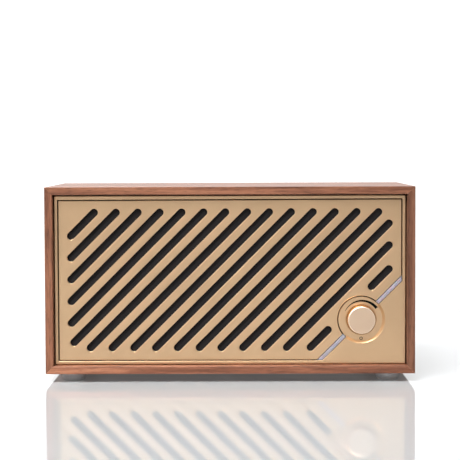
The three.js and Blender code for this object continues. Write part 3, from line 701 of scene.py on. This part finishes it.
def light_strips():
    """Each strip runs at 45 degrees from the dish and ends flush with the rim."""
    wide = STRIP_WIDTH / ROOT2
    for side in ("lower", "upper"):
        low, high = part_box("light_strip_" + side)
        if side == "upper":
            loop = [(low.x, low.z + wide, 0), (low.x + wide, low.z, 0),
                    (high.x, high.z - 2 * wide, 0), (high.x, high.z, 0)]
        else:
            loop = [(high.x - wide, high.z, 0), (high.x, high.z - wide, 0),
                    (low.x + 2 * wide, low.z, 0), (low.x, low.z, 0)]
        bm = plate(bmesh.new(), rounded(loop, closed=True), [], low.y, high.y, 0.5 * MM, 6)
        piece("light_guide_" + side, bm, "chassis", [GUIDE], ["light_strip_" + side])


# ---- Knob, its scale and the standby mark ----


def knob():
    """A satin face, a bright cut edge round it, and a polished side that widens to its base."""
    face = knob_low.y
    cut = 0.32 * MM
    face_radius = KNOB_RADIUS - 0.6 * MM
    bore = 3.4 * MM
    edge_starts, side_starts = 4, 10  # points of the profile: halfway round the arcs at its edge
    profile = rounded([
        (0, face, 0),
        (face_radius - cut, face, 0.05 * MM),
        (face_radius, face + cut * 0.7, 0.1 * MM),
        (KNOB_RADIUS, plate_low.y + DISH_DEPTH, 0.3 * MM),
        (KNOB_RADIUS, knob_high.y, 0),
        (bore, knob_high.y, 0),
    ])
    bm = turned(bmesh.new(), profile, (KNOB_X, 0, KNOB_Z), segments=160, changes=(edge_starts, side_starts))
    piece("knob_cap", bm, "knob", [GOLD_KNOB, GOLD_CUT, GOLD_POLISHED], ["volume_knob"])


def printed(name, loop, y):
    """A thin patch of ink on the dish's floor."""
    bm = plate(bmesh.new(), loop, [], y - 0.03 * MM, y + 0.02 * MM, 0.005 * MM, steps=1)
    piece(name, bm, "chassis", [INK])


def prints():
    """A wedge over the knob that widens clockwise, for volume, and the standby mark below it."""
    y = plate_low.y + DISH_DEPTH
    thin_end, thick_end = math.radians(152), math.radians(36)
    thin, thick = 0.22 * MM, 1.72 * MM
    radius = 10.4 * MM
    inner, outer = [], []
    steps = 48
    for k in range(steps + 1):
        angle = thin_end + (thick_end - thin_end) * k / steps
        width = thin + (thick - thin) * k / steps
        ray = Vector((math.cos(angle), math.sin(angle)))
        inner.append(Vector((KNOB_X, KNOB_Z)) + ray * radius)
        outer.append(Vector((KNOB_X, KNOB_Z)) + ray * (radius + width))
    printed("volume_wedge", inner + outer[::-1], y)

    x = KNOB_X
    z = KNOB_Z - 11.2 * MM
    half_gap = math.radians(38)
    start = math.pi / 2 + half_gap
    end = math.pi / 2 - half_gap + 2 * math.pi
    ring = arc(x, z, 1.0 * MM, start, end, 32) + arc(x, z, 0.6 * MM, end, start, 32)
    printed("standby_ring", ring, y)
    half_bar, bar_height = 0.17 * MM, 1.2 * MM
    bar = rectangle(x - half_bar, x + half_bar, z, z + bar_height, 0.05 * MM)
    printed("standby_bar", bar, y)


# ---- Back ----


def centre(name):
    low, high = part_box(name)
    return (low + high) / 2, high - low


def back():
    thickness = 3 * MM
    port, _ = centre("port_tube")
    holes = [circle(port.x, port.z, 14.4 * MM)]
    hole_radii = {"dc_jack": 5.3, "aux_jack": 3.9, "headphone_jack": 3.9, "setup_button": 3.3}
    for name, radius in hole_radii.items():
        place, _ = centre(name)
        holes.append(circle(place.x, place.z, radius * MM, 48))
    outer = rectangle(back_low.x, back_high.x, back_low.z, back_high.z, 0.8 * MM)
    bm = plate(bmesh.new(), outer, holes, back_high.y, back_high.y - thickness, 0.35 * MM)
    piece("back_cover", bm, "chassis", [BLACK_PLASTIC], ["back_panel"])
    bass_port(port)
    sockets()
    setup_button()
    screws()
    aerial()


def bass_port(place):
    """A tube with a flared mouth and a flange that lies on the back."""
    bore, tube, flare, rim = 12.2 * MM, 14 * MM, 16.2 * MM, 17.6 * MM
    mouth = port_high.y
    flange = back_high.y + 0.02 * MM
    profile = rounded([
        (bore, port_low.y, 0),
        (bore, mouth - 8 * MM, 14 * MM),
        (flare, mouth, 1.2 * MM),
        (rim, mouth - 0.2 * MM, 0.4 * MM),
        (rim, flange, 0),
        (tube, flange, 0),
        (tube, port_low.y, 0),
    ], steps=8)
    bm = turned(bmesh.new(), profile, place, segments=128, closed=True)
    piece("bass_port_tube", bm, "chassis", [SMOOTH_PLASTIC], ["port_tube"])


def sockets():
    """Each socket is a nose with a lined bore. The power inlet has a centre pin too."""
    chamfer = 0.35 * MM
    lining = 0.1 * MM
    for name, nose, bore, pin in (
        ("dc_jack", 5.0 * MM, 3.2 * MM, 1.0 * MM),
        ("aux_jack", 3.6 * MM, 1.8 * MM, 0),
        ("headphone_jack", 3.6 * MM, 1.8 * MM, 0),
    ):
        place, _ = centre(name)
        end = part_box(name)[1].y
        floor = end - 10 * MM
        profile = rounded([
            (nose, back_low.y - 0.2 * MM, 0),
            (nose, end, 0.35 * MM),
            (bore + chamfer, end, 0.1 * MM),
            (bore, end - 0.4 * MM, 0.1 * MM),
            (bore, floor, 0),
            (0, floor, 0),
        ])
        bm = turned(bmesh.new(), profile, place, segments=64)
        piece(name + "_nose", bm, "chassis", [SMOOTH_PLASTIC], [name])
        contact = rounded([
            (bore + chamfer, end - 0.05 * MM, 0),
            (bore - lining, end - 0.5 * MM, 0.15 * MM),
            (bore - lining, end - 5 * MM, 0),
        ])
        ring = turned(bmesh.new(), contact, place, segments=64)
        piece(name + "_contact", ring, "chassis", [STEEL])
        if pin:
            tip = end - 2.5 * MM
            corners = [(0, tip, 0), (pin, tip, 0.4 * MM), (pin, floor, 0)]
            bm = turned(bmesh.new(), rounded(corners), place, segments=32)
            piece(name + "_pin", bm, "chassis", [STEEL])


def setup_button():
    """A round cap with a shallow hollow for a fingertip."""
    low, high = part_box("setup_button")
    place, _ = centre("setup_button")
    radius, hollow = 3.0 * MM, 1.6 * MM
    profile = rounded([
        (0, high.y - 0.25 * MM, 0),
        (hollow, high.y - 0.2 * MM, 0.5 * MM),
        (radius, high.y, 0.5 * MM),
        (radius, low.y, 0),
        (0, low.y, 0),
    ])
    bm = turned(bmesh.new(), profile, place, segments=64)
    piece("setup_button_cap", bm, "setup_button", [SMOOTH_PLASTIC], ["setup_button"])


def eye(bm, centre, radius, half, bore, reach=0.0):
    """A flat ring about Z, rounded at its edges, with a tongue that reaches forward along -Y."""
    edge = 0.25 * MM
    steps = 24
    outline = arc(0, 0, radius, 0, math.pi, steps)
    if reach:
        outline += [Vector((-radius, -reach)), Vector((radius, -reach))]
    else:
        outline += arc(0, 0, radius, math.pi, 2 * math.pi, steps)[1:-1]
    flat = bmesh.new()
    plate(flat, outline, [circle(0, 0, bore, 32)], -half, half, edge)
    copies = {}
    for v in flat.verts:
        copies[v] = bm.verts.new(centre + Vector((v.co.x, v.co.z, v.co.y)))
    for face in flat.faces:
        bm.faces.new([copies[v] for v in face.verts])
    flat.free()


def aerial():
    """A boss on the back, a swivel with two ears, the pin between them and the mast on the pin."""
    place, _ = centre("aerial_mount")
    low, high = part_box("aerial_mount")
    boss, boss_top = 9 * MM, 7.6 * MM
    profile = rounded([
        (boss, low.y - 0.3 * MM, 0),
        (boss, low.y + 1 * MM, 0.4 * MM),
        (boss_top, high.y, 0.5 * MM),
        (0, high.y, 0),
    ])
    bm = turned(bmesh.new(), profile, place)
    piece("aerial_mount_boss", bm, "chassis", [SMOOTH_PLASTIC], ["aerial_mount"])

    pin_low, pin_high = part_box("aerial_pin")
    pivot = (pin_low + pin_high) / 2
    low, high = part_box("aerial_swivel")
    ear_radius = high.y - pivot.y
    ear_height, ear_half = 4.5 * MM, 0.9 * MM
    disc = 7.2 * MM
    disc_back = pivot.y - ear_radius + 0.6 * MM
    profile = rounded([
        (0, low.y, 0),
        (disc, low.y, 0.3 * MM),
        (disc, disc_back, 0.6 * MM),
        (0, disc_back, 0),
    ])
    bm = turned(bmesh.new(), profile, pivot)
    for z in (-ear_height, ear_height):
        reach = pivot.y - disc_back + 0.1 * MM
        eye(bm, pivot + Vector((0, 0, z)), ear_radius, ear_half, PIN_BORE, reach)
    piece("aerial_swivel_ears", bm, "aerial_base", [CHROME], ["aerial_swivel"])

    head, shank, head_height = 2.2 * MM, 1.3 * MM, 0.7 * MM
    profile = rounded([
        (0, pin_low.z, 0),
        (head, pin_low.z, 0.35 * MM),
        (head, pin_low.z + head_height, 0),
        (shank, pin_low.z + head_height, 0),
        (shank, pin_high.z - head_height, 0),
        (head, pin_high.z - head_height, 0),
        (head, pin_high.z, 0.35 * MM),
        (0, pin_high.z, 0),
    ])
    bm = turned(bmesh.new(), profile, pivot, axis=2, segments=48)
    piece("aerial_pivot_pin", bm, "aerial_base", [STEEL], ["aerial_pin"])
    mast(pivot)


def mast(pivot):
    """Four tubes that slide into each other. The first has an eye on the pin, the last a tip."""
    wall = 0.35 * MM
    for number in (1, 2, 3, 4):
        name = f"aerial_section_{number}"
        low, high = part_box(name)
        radius = min(high.y - pivot.y, 3.2 * MM)
        if number == 4:
            tip, rod, tip_end = 3.2 * MM, 1.1 * MM, low.x + 7.5 * MM
            corners = [
                (0, low.x, 0),
                (tip - 0.3 * MM, low.x, 1.2 * MM),
                (tip, low.x + 1.5 * MM, 0.6 * MM),
                (tip, tip_end, 0.6 * MM),
                (rod, tip_end, 0),
                (rod, high.x, 0),
                (0, high.x, 0),
            ]
        else:
            end = pivot.x - 3.5 * MM if number == 1 else high.x
            corners = [
                (radius - wall, low.x + 6 * MM, 0),
                (radius - wall, low.x, 0.1 * MM),
                (radius, low.x, 0.15 * MM),
                (radius, end, 0.5 * MM),
                (0, end, 0),
            ]
        bm = turned(bmesh.new(), rounded(corners), pivot, axis=0, segments=64)
        if number == 1:
            eye(bm, pivot, radius, 3.3 * MM, PIN_BORE)
        piece(f"aerial_tube_{number}", bm, f"mast_{number}", [CHROME], [name])


def screws():
    """Pan-head screws with a cross recess."""
    for level in ("lower", "upper"):
        for side in ("left", "right"):
            name = f"back_screw_{level}_{side}"
            place, size = centre(name)
            low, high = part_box(name)
            radius = size.x / 2
            shank = 1.5 * MM
            seat = high.y - 1.2 * MM
            profile = rounded([
                (0, high.y, 0),
                (radius * 0.72, high.y - 0.1 * MM, 1.6 * MM),
                (radius, high.y - 0.75 * MM, 0.5 * MM),
                (radius, seat, 0),
                (shank, seat, 0),
                (shank, low.y + 2 * MM, 0),
                (0, low.y, 0),
            ])
            bm = turned(bmesh.new(), profile, place, segments=64)
            obj = piece("pan_head_" + name, bm, "chassis", [DARK_STEEL], [name])
            top = place + Vector((0, size.y / 2, 0))
            long, narrow, deep = 3.2 * MM, 0.65 * MM, 1.4 * MM
            carve(obj, [(top, (long, deep, narrow)), (top, (narrow, deep, long))])


def carve(obj, boxes):
    """Cuts boxes, each a centre and a size, out of a piece."""
    cutter = bmesh.new()
    for place, size in boxes:
        made = bmesh.ops.create_cube(cutter, size=1)
        bmesh.ops.scale(cutter, vec=size, verts=made["verts"])
        bmesh.ops.translate(cutter, vec=place, verts=made["verts"])
    mesh = bpy.data.meshes.new("cutter")
    cutter.to_mesh(mesh)
    cutter.free()
    tool = bpy.data.objects.new("cutter", mesh)
    bpy.context.scene.collection.objects.link(tool)
    cut = obj.modifiers.new("recess", "BOOLEAN")
    cut.object = tool
    cut.use_self = True
    obj.modifiers.move(1, 0)
    bpy.context.view_layer.update()
    evaluated = obj.evaluated_get(bpy.context.evaluated_depsgraph_get())
    carved = bpy.data.meshes.new_from_object(evaluated)
    obj.modifiers.clear()
    obj.data = carved
    bpy.data.objects.remove(tool)


# ---- CAD nodes that stay, with a finish of their own ----

KEPT = {
    "pine": PINE,
    "black_rubber": RUBBER,
    "circuit_board": CIRCUIT,
    "baffle_board": BAFFLE,
    "plated_steel": STEEL,
    "black_plastic": SMOOTH_PLASTIC,
    "black_steel": DARK_STEEL,
    "paper_cone": PAPER,
    "ferrite": FERRITE,
    "aluminium": ALUMINIUM,
    "lead_jacket": WIRE,
}


def finish_kept_nodes():
    """Gives every CAD node that still shows its slot's material and eases its edges."""
    for entry in frame["record"]["subparts"]:
        obj = frame["nodes"][entry["node"]]
        if obj.hide_render:
            continue
        for slot in obj.material_slots:
            slot.material = KEPT[entry["material_slot"]]
        bevel = obj.modifiers.new("eased_edges", "BEVEL")
        bevel.width = 0.15 * MM
        bevel.segments = 2
        bevel.limit_method = "ANGLE"
        bevel.angle_limit = math.radians(40)


# ---- Stage ----


def studio():
    """A white backdrop to the camera. What the radio and the floor mirror is brighter behind and
    on the left than in front and on the right, and what lights them is even from front to back."""
    world = bpy.data.worlds.new("studio")
    bpy.context.scene.world = world
    world.use_nodes = True
    tree = world.node_tree
    direction = node(tree, "ShaderNodeTexCoord").outputs["Generated"]
    axes = node(tree, "ShaderNodeSeparateXYZ", {0: direction})

    def graded(axis, start, end, low, high):
        values = {"Value": axes.outputs[axis], "From Min": start, "From Max": end}
        values.update({"To Min": low, "To Max": high})
        return node(tree, "ShaderNodeMapRange", values).outputs[0]

    def chosen(ray, otherwise, strength):
        values = {"Factor": rays[ray], "A": otherwise, "B": strength}
        return node(tree, "ShaderNodeMix", values, data_type="FLOAT").outputs[0]

    depth = graded("Y", -0.5, 0.4, 0.66, 1.5)
    side = graded("X", -0.5, 0.5, 1.38, 0.58)
    rays = node(tree, "ShaderNodeLightPath").outputs
    lit = maths(tree, "MULTIPLY", chosen("Is Glossy Ray", 0.5, depth), side)
    strength = chosen("Is Camera Ray", lit, 1.3)
    tree.links.new(strength, tree.nodes["Background"].inputs["Strength"])
    tree.nodes["Background"].inputs["Color"].default_value = (1, 1, 1, 1)


def stage():
    bpy.ops.mesh.primitive_plane_add(size=12, location=(0, 0, 0))
    floor = bpy.context.object
    floor.name = "floor"
    s = Surface("white_gloss_floor")
    ripple = noise(s.tree, s.place, 3.0, 2.0)
    s.set("Base Color", (0.435, 0.45, 0.46))
    s.set("Emission Color", (1.0, 1.0, 1.0))
    s.set("Emission Strength", 0.06)
    s.set("Roughness", spread(s.tree, ripple, 0.01, 0.02))
    floor.data.materials.append(s.material)

    studio()
    for name, place, target, size, beam, power in (
        ("key", (-1.3, -0.8, 1.1), (0, 0, 0.05), 1.0, 180, 9),
        ("top", (-0.3, -0.87, 1.22), (0, -0.09, 0), 0.8, 40, 3.7),
        ("rear", (0.7, 1.4, 0.9), (0, 0, 0.05), 1.0, 180, 6),
    ):
        data = bpy.data.lights.new(name, "AREA")
        data.size = size
        data.spread = math.radians(beam)
        data.energy = power
        lamp = bpy.data.objects.new(name, data)
        bpy.context.scene.collection.objects.link(lamp)
        lamp.location = place
        lamp.rotation_euler = (Vector(target) - Vector(place)).to_track_quat("-Z", "Y").to_euler()
        lamp.visible_glossy = name != "rear"  # its image would lie in the floor beside the radio


def camera():
    """Nearly level, a little above the radio, with a long lens."""
    data = bpy.data.cameras.new("camera")
    data.sensor_width = 36
    data.lens = 124.4
    data.clip_end = 50
    cam = bpy.data.objects.new("camera", data)
    bpy.context.scene.collection.objects.link(cam)
    cam.location = (5.7 * MM, FRONT - 923.7 * MM, 137.1 * MM)
    cam.rotation_mode = "XYZ"
    pitch, yaw, roll = math.radians(2.969), math.radians(0.335), math.radians(0.194)
    cam.rotation_euler = (math.pi / 2 - pitch, roll, yaw)
    bpy.context.scene.camera = cam
    bpy.context.scene.view_settings.view_transform = "Standard"


camera()
stage()
sleeve()
feet()
front()
knob()
prints()
back()
finish_kept_nodes()

bpy.context.view_layer.update()
